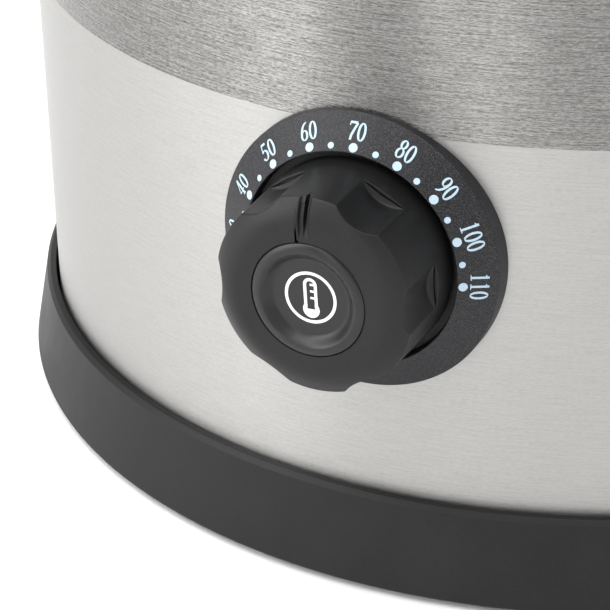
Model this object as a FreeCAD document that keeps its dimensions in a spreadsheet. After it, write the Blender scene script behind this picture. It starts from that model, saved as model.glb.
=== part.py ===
"""Electric preserving cooker: steel pot on a heated lower shell, with a thermostat dial in front.

Millimetres, +Z up, origin on the table under the middle of the pot, dial facing -Y.
"""
import FreeCAD, Part
import math
import os
import Sketcher
from FreeCAD import Placement, Rotation, Vector

DIMENSIONS = {
    # base moulding and what closes it from below
    "foot_stand": 2.0, "base_top": 29.6, "base_low_radius": 185.0, "base_top_radius": 179.9,
    "lip_gap": 0.9, "ledge_height": 14.0, "ledge_thick": 3.0, "ledge_inner": 164.0,
    "plate_radius": 179.6, "plate_thick": 1.0, "boss_circle": 170.0, "boss_radius": 3.6,
    "foot_circle": 148.0, "foot_radius": 14.0, "stem_radius": 4.0,
    # shell and pot
    "shell_radius": 176.0, "sheet": 0.8, "seam_height": 138.6, "joggle": 1.0, "pot_floor": 128.0,
    "pot_corner": 9.0, "rim_height": 430.0, "bead_radius": 3.2,
    # dial and knob, measured outward from the dial plane
    "dial_height": 103.6, "dial_stand": 1.8, "dial_radius": 40.0, "dial_inner": 30.5,
    "dial_rise": 6.0, "dial_floor": 1.2, "knob_back": 2.4, "knob_rim": 27.9, "knob_face": 30.9,
    "knob_radius": 27.7, "knob_skirt": 28.2, "dome_start": 20.0, "groove_width": 2.7,
    "groove_depth": 1.4, "scallop_radius": 12.2, "scallop_circle": 37.4, "scallop_start": 12.0,
    "cap_radius": 16.0, "cap_seat": 26.0, "cap_floor": 29.0, "cap_crest": 31.5, "hub_radius": 6.5,
    # thermostat
    "shaft_radius": 3.0, "shaft_flat": 2.0, "running_gap": 0.05, "bracket_face": 173.4,
    "bracket_thick": 1.6, "screw_offset": 14.0, "thermostat_half": 18.5, "thermostat_depth": 27.0,
    # heater
    "spreader_radius": 112.0, "spreader_thick": 4.0, "element_circle": 88.0, "element_radius": 4.0,
    "shield_radius": 120.0, "shield_floor": 103.0, "shield_rim": 120.0, "shield_sheet": 0.6,
    "rod_radius": 3.0,
    # cord entry, behind
    "gland_height": 54.0, "gland_bore": 3.8, "gland_body": 8.0, "gland_flange": 12.0,
    # handles
    "handle_height": 372.0, "handle_half": 56.0, "handle_reach": 40.0, "handle_tall": 24.0,
    "handle_grip": 13.0, "handle_post": 17.0,
    # lid and rack
    "lid_gap": 0.3, "lid_radius": 181.5, "lid_dome": 26.0, "lid_drop": 11.0, "lid_knob_radius": 24.0,
    "lid_knob_height": 34.0, "rack_radius": 163.0, "rack_height": 21.0, "rack_sheet": 1.2,
}

doc = FreeCAD.newDocument("preserving_cooker")
sheet = doc.addObject("Spreadsheet::Sheet", "dims")
SUBPARTS = []


class Size:
    """A length that knows its value and the sheet formula that it comes from."""

    def __init__(self, value, text):
        self.value = value
        self.text = text

    def __add__(self, other):
        other = as_size(other)
        return Size(self.value + other.value, f"({self.text} + {other.text})")

    def __radd__(self, other):
        return as_size(other) + self

    def __sub__(self, other):
        other = as_size(other)
        return Size(self.value - other.value, f"({self.text} - {other.text})")

    def __rsub__(self, other):
        return as_size(other) - self

    def __mul__(self, factor):
        return Size(self.value * factor, f"({self.text} * {factor:.9f})")

    def __neg__(self):
        return self * -1.0


def as_size(number):
    return number if isinstance(number, Size) else Size(float(number), f"{float(number):.6f}")


class Sizes:
    """Every driving dimension of the sheet as a Size."""


d = Sizes()
for row, (alias, number) in enumerate(DIMENSIONS.items(), start=1):
    sheet.set(f"A{row}", alias)
    sheet.set(f"B{row}", str(number))
    sheet.setAlias(f"B{row}", alias)
    setattr(d, alias, Size(number, f"dims.{alias}"))
doc.recompute()


# ---------------------------------------------------------------- drawing helpers

def bind(obj, prop, size):
    obj.setExpression(prop, as_size(size).text)


def new_body(label, height=None, tilt=None):
    """A named sub-part, raised to a height of the sheet and tilted about X or Y if asked."""
    body = doc.addObject("PartDesign::Body", label)
    body.Label = label
    body.AllowCompound = True
    if tilt:
        body.Placement = Placement(Vector(), tilt)
    if height is not None:
        bind(body, "Placement.Base.z", height)
    SUBPARTS.append(body)
    return body


def new_sketch(body, role="XZ_Plane", offset=None):
    sketch = body.newObject("Sketcher::SketchObject", body.Label + "_sketch")
    plane = [f for f in body.Origin.OriginFeatures if f.Role == role][0]
    sketch.AttachmentSupport = (plane, [""])
    sketch.MapMode = "FlatFace"
    if offset is not None:
        bind(sketch, "AttachmentOffset.Base.z", offset)
    return sketch


def fix_point(sketch, geometry, vertex, x, y):
    for kind, place in (("DistanceX", x), ("DistanceY", y)):
        index = sketch.addConstraint(
            Sketcher.Constraint(kind, -1, 1, geometry, vertex, place.value))
        bind(sketch, f"Constraints[{index}]", place)


def outline(sketch, points):
    """A closed outline. A point (x, y) ends a line; (x, y, radius) ends an arc, left-turning if
    the radius is positive and right-turning if it is negative."""
    corners = [(as_size(p[0]), as_size(p[1])) for p in points]
    ends = []
    for i, point in enumerate(points):
        start, stop = corners[i - 1], corners[i]
        a = Vector(start[0].value, start[1].value)
        b = Vector(stop[0].value, stop[1].value)
        if len(point) == 2:
            ends.append((sketch.addGeometry(Part.LineSegment(a, b)), 1, 2))
            continue
        radius = as_size(point[2])
        side = math.copysign(1.0, radius.value)
        chord = b - a
        across = Vector(-chord.y, chord.x).normalize()
        reach = math.sqrt(radius.value ** 2 - (chord.Length / 2) ** 2)
        centre = (a + b) * 0.5 + across * (side * reach)
        first, last = (a, b) if side > 0 else (b, a)
        angles = [math.atan2(v.y - centre.y, v.x - centre.x) for v in (first, last)]
        circle = Part.Circle(centre, Vector(0, 0, 1), abs(radius.value))
        arc = sketch.addGeometry(Part.ArcOfCircle(circle, angles[0], angles[1]))
        index = sketch.addConstraint(Sketcher.Constraint("Radius", arc, abs(radius.value)))
        bind(sketch, f"Constraints[{index}]", radius if side > 0 else -radius)
        ends.append((arc, 1, 2) if side > 0 else (arc, 2, 1))
    for i, (geometry, start, stop) in enumerate(ends):
        following = ends[(i + 1) % len(ends)]
        sketch.addConstraint(
            Sketcher.Constraint("Coincident", geometry, stop, following[0], following[1]))
        fix_point(sketch, geometry, stop, *corners[i])
    return sketch


def circle(sketch, x, y, radius):
    x, y, radius = as_size(x), as_size(y), as_size(radius)
    shape = Part.Circle(Vector(x.value, y.value), Vector(0, 0, 1), radius.value)
    geometry = sketch.addGeometry(shape)
    fix_point(sketch, geometry, 3, x, y)
    index = sketch.addConstraint(Sketcher.Constraint("Radius", geometry, radius.value))
    bind(sketch, f"Constraints[{index}]", radius)


def ring_of_circles(sketch, circle_radius, hole_radius, count, first_degrees=0.0):
    for turn in range(count):
        angle = math.radians(first_degrees + 360.0 * turn / count)
        circle(sketch, circle_radius * math.cos(angle), circle_radius * math.sin(angle), hole_radius)


def rectangle(sketch, left, right, low, high):
    outline(sketch, [(left, low), (right, low), (right, high), (left, high)])


def revolve(body, points):
    """Turn an outline of (radius, height) about the sub-part's own Z axis."""
    feature = body.newObject("PartDesign::Revolution", body.Label + "_turned")
    sketch = outline(new_sketch(body), points)
    feature.Profile = sketch
    feature.ReferenceAxis = (sketch, ["V_Axis"])
    feature.Angle = 360.0
    body.Tip = feature


def pad(body, sketch, length, symmetric=False):
    feature = body.newObject("PartDesign::Pad", body.Label + "_pad")
    feature.Profile = sketch
    bind(feature, "Length", length)
    feature.SideType = "Symmetric" if symmetric else "One side"
    body.Tip = feature


def pocket(body, sketch, length, symmetric=False, reverse=False):
    """Cut a sketch into the body, and make sure that material really went."""
    before = body.Tip
    feature = body.newObject("PartDesign::Pocket", body.Label + "_cut")
    feature.Profile = sketch
    bind(feature, "Length", length)
    feature.SideType = "Symmetric" if symmetric else "One side"
    feature.Reversed = reverse
    body.Tip = feature
    doc.recompute()
    if feature.Shape.Volume > before.Shape.Volume - 0.01:
        raise SystemExit(f"{body.Label}: a pocket cut nothing")


def disc(body, low, high, radius, x=0.0, y=0.0):
    sketch = new_sketch(body, "XY_Plane", low)
    circle(sketch, x, y, radius)
    pad(body, sketch, high - low)


def round_edges(body, radius, wanted):
    """Round the edges of the body's tip for which wanted(edge) is true."""
    doc.recompute()
    base = body.Tip
    names = [f"Edge{i}" for i, edge in enumerate(base.Shape.Edges, start=1) if wanted(edge)]
    feature = body.newObject("PartDesign::Fillet", body.Label + "_edges")
    feature.Base = (base, names)
    bind(feature, "Radius", radius)
    body.Tip = feature


def group(label, members):
    """Identical separate solids under one name."""
    compound = doc.addObject("Part::Compound", label)
    compound.Label = label
    compound.Links = members
    SUBPARTS.append(compound)


def cylinder(name, radius, length, placement, tall=None):
    shape = doc.addObject("Part::Cylinder", name)
    bind(shape, "Radius", radius)
    bind(shape, "Height", length)
    shape.Placement = placement
    if tall is not None:
        bind(shape, "Placement.Base.z", tall)
    return shape


def screws(label, places, head_radius, head_height, shank_radius, shank_length):
    """Pan-head screws: each place is a Placement whose +Z leaves through the head."""
    members = []
    for i, place in enumerate(places):
        shank_place = place.multiply(Placement(Vector(0, 0, -shank_length), Rotation()))
        head = cylinder(f"{label}_head{i}", head_radius, head_height, place)
        shank = cylinder(f"{label}_shank{i}", shank_radius, shank_length, shank_place)
        screw = doc.addObject("Part::Fuse", f"{label}_{i}")
        screw.Base, screw.Tool = head, shank
        members.append(screw)
    group(label, members)


def tube(label, radius, points, bend):
    """A round wire or pipe: straight runs between the points, joined by arcs of the bend radius."""
    nodes = [Vector(*p) for p in points]
    edges, start = [], nodes[0]
    for before, corner, after in zip(nodes, nodes[1:], nodes[2:]):
        into = (corner - before).normalize()
        out = (after - corner).normalize()
        trim = bend * math.tan(into.getAngle(out) / 2)
        a, b = corner - into * trim, corner + out * trim
        inward = (out - into).normalize()
        centre = corner + inward * (bend / math.cos(into.getAngle(out) / 2))
        edges += [Part.LineSegment(start, a).toShape(),
                  Part.Arc(a, centre - inward * bend, b).toShape()]
        start = b
    edges.append(Part.LineSegment(start, nodes[-1]).toShape())
    path = Part.Wire(edges)
    profile = Part.Wire([Part.Circle(nodes[0], nodes[1] - nodes[0], radius).toShape()])
    pipe = doc.addObject("Part::Feature", label)
    pipe.Label = label
    pipe.Shape = path.makePipeShell([profile], True, False)
    if abs(pipe.Shape.Volume / (math.pi * radius ** 2 * path.Length) - 1) > 0.01:
        raise SystemExit(f"{label}: the pipe's volume doesn't match its length")
    SUBPARTS.append(pipe)


def polar(radius, degrees, height=0.0):
    angle = math.radians(degrees)
    return Vector(radius * math.cos(angle), radius * math.sin(angle), height)


FACING_FRONT = Rotation(Vector(1, 0, 0), 90)     # own +Z points to -Y, own +Y points up
FACING_BACK = Rotation(Vector(1, 0, 0), -90)     # own +Z points to +Y
EARTH_PLACE = (-40.0, 110.0)                     # earth screw on the base plate
QUARTERS = [45.0 + 90.0 * i for i in range(4)]
shell_inside = d.shell_radius - d.sheet
plate_top = d.ledge_height - d.ledge_thick
plate_low = plate_top - d.plate_thick
dial_plane = d.shell_radius + d.dial_stand


# ---------------------------------------------------------------- base

def base_ring():
    body = new_body("base_ring")
    revolve(body, [
        (d.base_low_radius - 3.0, d.foot_stand), (d.base_low_radius - 1.2, d.foot_stand),
        (d.base_low_radius, d.foot_stand + 1.2), (d.base_top_radius, d.base_top - 1.2),
        (d.base_top_radius - 1.2, d.base_top), (d.shell_radius + d.lip_gap, d.base_top),
        (d.shell_radius + d.lip_gap, d.ledge_height), (d.ledge_inner, d.ledge_height),
        (d.ledge_inner, plate_top), (d.base_low_radius - 4.8, plate_top)])
    bosses = new_sketch(body, "XY_Plane", d.ledge_height)
    ring_of_circles(bosses, d.boss_circle, d.boss_radius, 4, QUARTERS[0])
    pad(body, bosses, 10.0)
    pilots = new_sketch(body, "XY_Plane", plate_top)
    ring_of_circles(pilots, d.boss_circle, as_size(1.5), 4, QUARTERS[0])
    pocket(body, pilots, 11.0, reverse=True)


def base_plate():
    body = new_body("base_plate")
    disc(body, plate_low, plate_top, d.plate_radius)
    holes = new_sketch(body, "XY_Plane", plate_low)
    ring_of_circles(holes, d.boss_circle, as_size(2.2), 4, QUARTERS[0])
    ring_of_circles(holes, d.foot_circle, d.stem_radius + 0.1, 4, QUARTERS[0])
    circle(holes, 0.0, 0.0, d.rod_radius + 0.3)
    circle(holes, EARTH_PLACE[0], EARTH_PLACE[1], as_size(1.7))
    for vents, count in ((60.0, 12), (85.0, 18)):
        ring_of_circles(holes, as_size(vents), as_size(4.0), count, 5.0)
    pocket(body, holes, 2.0, reverse=True)


def feet():
    body = new_body("rubber_feet")
    for low, high, radius in ((as_size(0.0), plate_low, d.foot_radius),
                              (plate_low, plate_top, d.stem_radius),
                              (plate_top, plate_top + 2.5, d.stem_radius + 1.6)):
        sketch = new_sketch(body, "XY_Plane", low)
        ring_of_circles(sketch, d.foot_circle, radius, 4, QUARTERS[0])
        pad(body, sketch, high - low)


def base_fasteners():
    low = plate_low.value
    down = Rotation(Vector(1, 0, 0), 180)
    circle_radius = DIMENSIONS["boss_circle"]
    screws("base_screws", [Placement(polar(circle_radius, a, low), down) for a in QUARTERS],
           3.6, 2.2, 1.45, 11.0)

    washer = new_body("rod_washer")
    disc(washer, plate_low - 1.2, plate_low, as_size(9.0))
    rod_hole(washer, plate_low - 1.2, 2.0)
    hex_nut("rod_nut", plate_low - 6.2, 5.0)
    rod = new_body("tie_rod")
    disc(rod, as_size(2.6), d.pot_floor, d.rod_radius)


def rod_hole(body, low, depth):
    hole = new_sketch(body, "XY_Plane", low)
    circle(hole, 0.0, 0.0, d.rod_radius + d.running_gap)
    pocket(body, hole, depth, reverse=True)


def hex_nut(label, low, height, across_flats=10.0):
    body = new_body(label)
    sketch = new_sketch(body, "XY_Plane", low)
    corner = across_flats / math.sqrt(3.0)
    outline(sketch, [tuple(polar(corner, 60.0 * i))[:2] for i in range(6)])
    pad(body, sketch, height)
    rod_hole(body, low, height + 1.0)


# ---------------------------------------------------------------- shell and pot

def lower_shell():
    body = new_body("lower_shell")
    revolve(body, [(shell_inside, d.ledge_height), (d.shell_radius, d.ledge_height),
                   (d.shell_radius, d.seam_height - 0.2), (shell_inside, d.seam_height - 0.2)])
    front = new_sketch(body, "XZ_Plane")
    circle(front, 0.0, d.dial_height, as_size(7.0))
    for side in (-1.0, 1.0):
        circle(front, d.screw_offset * side, d.dial_height, as_size(5.0))
    pocket(body, front, 200.0, reverse=True)
    back = new_sketch(body, "XZ_Plane")
    circle(back, 0.0, d.gland_height, d.gland_body + 0.2)
    pocket(body, back, 200.0)


def pot():
    body = new_body("pot")
    neck = d.shell_radius - d.joggle
    bead_centre = d.shell_radius - d.sheet + d.bead_radius
    revolve(body, [
        (0.0, d.pot_floor), (neck - d.pot_corner, d.pot_floor),
        (neck, d.pot_floor + d.pot_corner, d.pot_corner), (neck, d.seam_height),
        (d.shell_radius, d.seam_height + 0.2), (d.shell_radius, d.rim_height - d.bead_radius * 2.0),
        (bead_centre, d.rim_height - d.bead_radius * 2.0),
        (bead_centre, d.rim_height, d.bead_radius + 0.0001),
        (shell_inside, d.rim_height - d.bead_radius, d.bead_radius),
        (shell_inside, d.seam_height + 1.0), (neck - d.sheet, d.seam_height),
        (neck - d.sheet, d.pot_floor + d.pot_corner),
        (neck - d.pot_corner, d.pot_floor + d.sheet, -(d.pot_corner - d.sheet)),
        (0.0, d.pot_floor + d.sheet)])
    front = new_sketch(body, "YZ_Plane")
    for side in (-1.0, 1.0):
        circle(front, (d.handle_half - 8.0) * side, d.handle_height, as_size(2.7))
    pocket(body, front, 400.0, symmetric=True)


# ---------------------------------------------------------------- heater

def heater():
    spreader = new_body("heat_spreader")
    disc(spreader, d.pot_floor - d.spreader_thick, d.pot_floor, d.spreader_radius)
    hole = new_sketch(spreader, "XY_Plane", d.pot_floor - d.spreader_thick)
    circle(hole, 0.0, 0.0, d.rod_radius + 0.3)
    pocket(spreader, hole, 8.0, reverse=True)

    shield = new_body("heat_shield")
    inner = d.rod_radius + 0.3
    revolve(shield, [
        (inner, d.shield_floor), (d.shield_radius - 6.0, d.shield_floor),
        (d.shield_radius, d.shield_floor + 6.0, 6.0), (d.shield_radius, d.shield_rim),
        (d.shield_radius - d.shield_sheet, d.shield_rim),
        (d.shield_radius - d.shield_sheet, d.shield_floor + 6.0),
        (d.shield_radius - 6.0, d.shield_floor + d.shield_sheet, d.shield_sheet - 6.0),
        (inner, d.shield_floor + d.shield_sheet)])
    holes = new_sketch(shield, "XY_Plane", d.shield_floor)
    for x, y, radius in ((-14.0, 86.9, 7.0), (14.0, 86.9, 7.0), (46.0, -54.0, 4.0), (40.0, 20.0, 6.0)):
        circle(holes, x, y, radius)
    pocket(shield, holes, 2.0, reverse=True)
    hex_nut("shield_nut", d.shield_floor - 5.0, 5.0)
    heating_element()


def heating_element():
    """Tubular heater: an open ring under the spreader whose cold ends turn down at the back."""
    ring = DIMENSIONS["element_circle"]
    section = DIMENSIONS["element_radius"]
    level = DIMENSIONS["pot_floor"] - DIMENSIONS["spreader_thick"] - section - 0.05
    bend = 10.0
    gap = math.degrees(math.asin(14.0 / ring))
    edges, drop = [], level - 92.0
    for end in (-1, 1):
        on_ring = polar(ring, 90 + end * (gap + 7), level)
        along = polar(1.0, 90 + end * (gap + 7) - end * 90)
        quarter = on_ring + along * (bend * math.sin(math.pi / 4))
        middle = quarter - Vector(0, 0, bend * (1 - math.cos(math.pi / 4)))
        foot = on_ring + along * bend - Vector(0, 0, bend)
        edges.append([Part.Arc(on_ring, middle, foot).toShape(),
                      Part.LineSegment(foot, foot - Vector(0, 0, drop - bend)).toShape()])
    start, stop = (polar(ring, 90 + end * (gap + 7), level) for end in (-1, 1))
    around = Part.Arc(start, polar(ring, 270, level), stop).toShape()
    path = Part.Wire(Part.__sortEdges__([edges[0][1], edges[0][0], around, edges[1][0], edges[1][1]]))
    cold_end = edges[0][1].Vertexes[1].Point
    profile = Part.Wire([Part.Circle(cold_end, Vector(0, 0, 1), section).toShape()])
    element = doc.addObject("Part::Feature", "heating_element")
    element.Label = "heating_element"
    element.Shape = path.makePipeShell([profile], True, False)
    SUBPARTS.append(element)
    pins = []
    for i, (_, down) in enumerate(edges):
        tip = down.Vertexes[1].Point
        pins.append(cylinder(f"pin{i}", 1.6, 14.0, Placement(tip - Vector(0, 0, 14.0), Rotation())))
    group("element_pins", pins)


def temperature_sensing():
    under = d.pot_floor - d.spreader_thick
    cutout = new_body("thermal_cutout")
    disc(cutout, under - 10.0, under, as_size(9.0), 40.0, 20.0)
    blades = new_sketch(cutout, "XY_Plane", under - 18.0)
    for x in (36.0, 44.0):
        rectangle(blades, x - 0.4, x + 0.4, 17.0, 23.0)
    pad(cutout, blades, 8.0)

    turned = Rotation(Vector(0, 1, 0), 90)
    bulb_height = under.value - 3.1
    bulb = cylinder("sensor_bulb", 3.0, 72.0, Placement(Vector(-36, -54, bulb_height), turned))
    bulb.Label = "sensor_bulb"
    SUBPARTS.append(bulb)
    clips = []
    for i, x in enumerate((-24.0, 16.0)):
        block = doc.addObject("Part::Box", f"clip_block{i}")
        block.Length, block.Width, block.Height = 8.0, 11.0, 7.4
        block.Placement = Placement(Vector(x, -59.5, under.value - 7.4), Rotation())
        bore = cylinder(f"clip_bore{i}", 3.3, 10.0, Placement(Vector(x - 1, -54, bulb_height), turned))
        clip = doc.addObject("Part::Cut", f"clip{i}")
        clip.Base, clip.Tool = block, bore
        clips.append(clip)
    group("bulb_clips", clips)
    tube("capillary_tube", 0.9,
         [(36.0, -54.0, bulb_height), (46.0, -54.0, bulb_height), (46.0, -54.0, 92.0),
          (38.0, -128.0, 84.0), (26.0, -156.0, 92.0), (18.5, -156.0, 92.0)], 3.5)


# ---------------------------------------------------------------- thermostat, dial and knob

def thermostat():
    back = d.bracket_face - d.bracket_thick
    body = new_body("thermostat_body", d.dial_height, FACING_FRONT)
    case = new_sketch(body, "XY_Plane", back - d.thermostat_depth)
    rectangle(case, -d.thermostat_half, d.thermostat_half, -d.thermostat_half, d.thermostat_half)
    pad(body, case, d.thermostat_depth)
    bore = new_sketch(body, "XY_Plane", back - 20.0)
    circle(bore, 0.0, 0.0, d.shaft_radius + d.running_gap)
    pocket(body, bore, 30.0, reverse=True)

    bracket = new_body("thermostat_bracket", d.dial_height, FACING_FRONT)
    plate = new_sketch(bracket, "XY_Plane", back)
    rectangle(plate, -21.0, 21.0, -12.0, 12.0)
    pad(bracket, plate, d.bracket_thick)
    disc(bracket, d.bracket_face, dial_plane - 1.5, d.shaft_radius + 2.0)
    holes = new_sketch(bracket, "XY_Plane", back)
    circle(holes, 0.0, 0.0, d.shaft_radius + d.running_gap)
    for side in (-1.0, 1.0):
        circle(holes, d.screw_offset * side, 0.0, as_size(1.85))
    pocket(bracket, holes, 30.0, reverse=True)

    terminals = new_body("thermostat_terminals", d.dial_height, FACING_FRONT)
    blades = new_sketch(terminals, "XY_Plane", back - d.thermostat_depth - 9.0)
    for x in (-8.0, 8.0):
        rectangle(blades, x - 3.1, x + 3.1, -0.4, 0.4)
    pad(terminals, blades, 9.0)

    shaft = new_body("thermostat_shaft", d.dial_height, FACING_FRONT)
    disc(shaft, back - 18.0, dial_plane + 21.0, d.shaft_radius)
    flat = new_sketch(shaft, "XY_Plane", dial_plane + 3.0)
    rectangle(flat, -4.0, 4.0, d.shaft_flat, 5.0)
    pocket(shaft, flat, 20.0, reverse=True)

    place = DIMENSIONS["dial_height"]
    head = -(dial_plane.value + DIMENSIONS["dial_floor"])
    screws("thermostat_screws",
           [Placement(Vector(side * DIMENSIONS["screw_offset"], head, place), FACING_FRONT)
            for side in (-1, 1)], 3.5, 2.2, 1.8, 7.0)


def dial_ring():
    """Cone-faced scale ring with a sunk floor, its back hollowed to sit on the round shell."""
    body = new_body("dial_ring", d.dial_height, FACING_FRONT)
    floor = dial_plane + d.dial_floor
    revolve(body, [
        (6.0, 150.0), (d.dial_radius, 150.0), (d.dial_radius, dial_plane - 0.4),
        (d.dial_radius - 0.4, dial_plane), (d.dial_inner + 0.5, dial_plane + d.dial_rise - 0.25),
        (d.dial_inner, dial_plane + d.dial_rise - 0.5), (d.dial_inner, floor), (6.0, floor)])
    hollow = new_sketch(body, "XZ_Plane")
    circle(hollow, 0.0, 0.0, d.shell_radius + 0.1)
    pocket(body, hollow, 200.0, symmetric=True)
    bosses = new_sketch(body, "XY_Plane", d.bracket_face)
    for side in (-1.0, 1.0):
        circle(bosses, d.screw_offset * side, 0.0, as_size(4.6))
    pad(body, bosses, floor - d.bracket_face)
    holes = new_sketch(body, "XY_Plane", d.bracket_face)
    for side in (-1.0, 1.0):
        circle(holes, d.screw_offset * side, 0.0, as_size(2.0))
    pocket(body, holes, 20.0, reverse=True)


POINTER_DEGREES = -2.6                  # clockwise from straight up, at rest
FIRST_SCALLOP_DEGREES = 28.0
SCALLOPS = 6


def knob():
    body = new_body("knob", d.dial_height, FACING_FRONT)
    back, rim = dial_plane + d.knob_back, dial_plane + d.knob_rim
    seat, face = dial_plane + d.cap_seat, dial_plane + d.knob_face
    revolve(body, [
        (22.6, back), (d.knob_skirt, back), (d.knob_radius, rim), (d.dome_start, face, as_size(11.4)),
        (d.cap_radius + 0.1, face), (d.cap_radius + 0.1, seat), (0.0, seat), (0.0, seat - 2.5),
        (21.6, seat - 2.5)])
    disc(body, back + 1.0, seat - 2.0, d.hub_radius)
    cuts = new_sketch(body, "XY_Plane", dial_plane + d.scallop_start)
    for i in range(SCALLOPS):
        angle = math.radians(FIRST_SCALLOP_DEGREES + i * 360.0 / SCALLOPS)
        circle(cuts, d.scallop_circle * math.sin(angle), d.scallop_circle * math.cos(angle),
               d.scallop_radius)
    pocket(body, cuts, 30.0, reverse=True)
    groove = new_sketch(body, "YZ_Plane")
    groove.AttachmentOffset = Placement(Vector(), Rotation(Vector(0, 1, 0), -POINTER_DEGREES))
    outline(groove, [
        (d.cap_radius + 1.0, face + 1.0), (d.cap_radius + 1.0, face), (d.dome_start, face - d.groove_depth),
        (d.knob_radius + 1.0, rim - d.groove_depth), (d.knob_radius + 1.0, face + 1.0)])
    pocket(body, groove, d.groove_width, symmetric=True)
    bore = new_sketch(body, "XY_Plane", back + 1.0)
    flat, reach = d.shaft_flat + d.running_gap, d.shaft_radius + d.running_gap
    half = math.sqrt(reach.value ** 2 - flat.value ** 2)
    outline(bore, [(half, flat, reach), (-half, flat), (0.0, -reach, reach)])
    pocket(body, bore, 18.5, reverse=True)

    cap = new_body("knob_cap", d.dial_height, FACING_FRONT)
    floor, crest = dial_plane + d.cap_floor, dial_plane + d.cap_crest
    revolve(cap, [(0.0, seat), (d.cap_radius, seat), (d.cap_radius, crest - 1.0),
                  (d.cap_radius - 1.0, crest, 1.0), (d.cap_radius - 5.4, floor, 8.0), (0.0, floor)])

    clip = new_body("knob_clip", d.dial_height, FACING_FRONT)
    revolve(clip, [(d.hub_radius, back + 4.0), (d.hub_radius + 0.6, back + 4.0),
                   (d.hub_radius + 0.6, back + 10.0), (d.hub_radius, back + 10.0)])


# ---------------------------------------------------------------- cord entry and wiring

def cord_entry():
    wall = d.shell_radius + 0.1
    gland = new_body("cord_gland", d.gland_height, FACING_BACK)
    disc(gland, shell_inside - 14.0, wall, d.gland_body)
    disc(gland, wall, wall + 4.0, d.gland_flange)
    disc(gland, wall + 4.0, wall + 12.0, d.gland_body)
    nut = new_body("gland_dome_nut", d.gland_height, FACING_BACK)
    revolve(nut, [(d.gland_body + 0.1, wall + 4.0), (d.gland_flange - 1.0, wall + 4.0),
                  (d.gland_flange - 1.0, wall + 12.0), (d.gland_bore + 2.0, wall + 19.0, 8.5),
                  (d.gland_bore, wall + 19.0), (d.gland_bore, wall + 12.1),
                  (d.gland_body + 0.1, wall + 12.1)])
    lock = new_body("gland_locknut", d.gland_height, FACING_BACK)
    ring = new_sketch(lock, "XY_Plane", shell_inside - 5.6)
    outline(ring, [tuple(polar(13.0, 60.0 * i))[:2] for i in range(6)])
    pad(lock, ring, 5.0)
    for body, low, radius in ((gland, shell_inside - 14.0, d.gland_bore),
                              (lock, shell_inside - 6.0, d.gland_body + 0.1)):
        hole = new_sketch(body, "XY_Plane", low)
        circle(hole, 0.0, 0.0, radius)
        pocket(body, hole, 60.0, reverse=True)


def wiring():
    block = new_body("terminal_block")
    foot = new_sketch(block, "XY_Plane", plate_top)
    rectangle(foot, -20.0, 20.0, 102.0, 118.0)
    pad(block, foot, 16.0)
    poles = new_sketch(block, "XZ_Plane", as_size(-125.0))
    for x in (-12.0, 0.0, 12.0):
        circle(poles, x, plate_top + 8.0, as_size(2.5))
    pocket(block, poles, 40.0, reverse=True)
    fixings = new_sketch(block, "XY_Plane", plate_top + 4.0)
    for x in (-6.0, 6.0):
        circle(fixings, x, 110.0, as_size(0.95))
    pocket(block, fixings, 20.0, reverse=True)
    top = plate_top.value + 16.0
    screws("block_screws", [Placement(Vector(x, 110.0, top), Rotation()) for x in (-6.0, 6.0)],
           2.4, 1.6, 0.9, 11.5)
    screws("earth_screw", [Placement(Vector(*EARTH_PLACE, plate_top.value + 1.4), Rotation())],
           3.4, 2.4, 1.6, 4.4)

    level = plate_top.value + 8.0
    blade = dial_plane.value - 44.0
    tube("wire_live", 1.1, [(0.0, 103.0, level), (0.0, 80.0, level), (-58.0, 0.0, 22.0),
                            (-58.0, -96.0, 22.0), (-8.0, -122.0, 60.0), (-8.0, -131.5, 96.0),
                            (-8.0, -blade + 1.0, 103.6)], 5.0)
    tube("wire_neutral", 1.1, [(12.0, 103.0, level), (12.0, 84.0, level), (30.0, 74.0, 48.0),
                               (24.5, 84.7, 70.0), (24.5, 84.7, 78.0)], 5.0)
    tube("wire_switched", 1.1, [(8.0, -blade + 1.0, 103.6), (8.0, -131.5, 96.0),
                                (8.0, -122.0, 72.0), (38.0, -40.0, 70.0), (44.0, 20.0, 82.0),
                                (44.0, 20.0, 106.0)], 5.0)
    tube("wire_link", 1.1, [(36.0, 20.0, 106.0), (36.0, 20.0, 88.0), (10.0, 40.0, 62.0),
                            (-24.5, 70.0, 60.0), (-24.5, 84.7, 70.0), (-24.5, 84.7, 78.0)], 4.0)
    tube("wire_earth", 1.1, [(-12.0, 103.0, level), (-12.0, 90.0, level), (-40.0, 90.0, level),
                             (*EARTH_PLACE, plate_top.value + 7.0),
                             (*EARTH_PLACE, plate_top.value + 3.8)], 1.6)


# ---------------------------------------------------------------- handles, lid and rack

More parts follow.
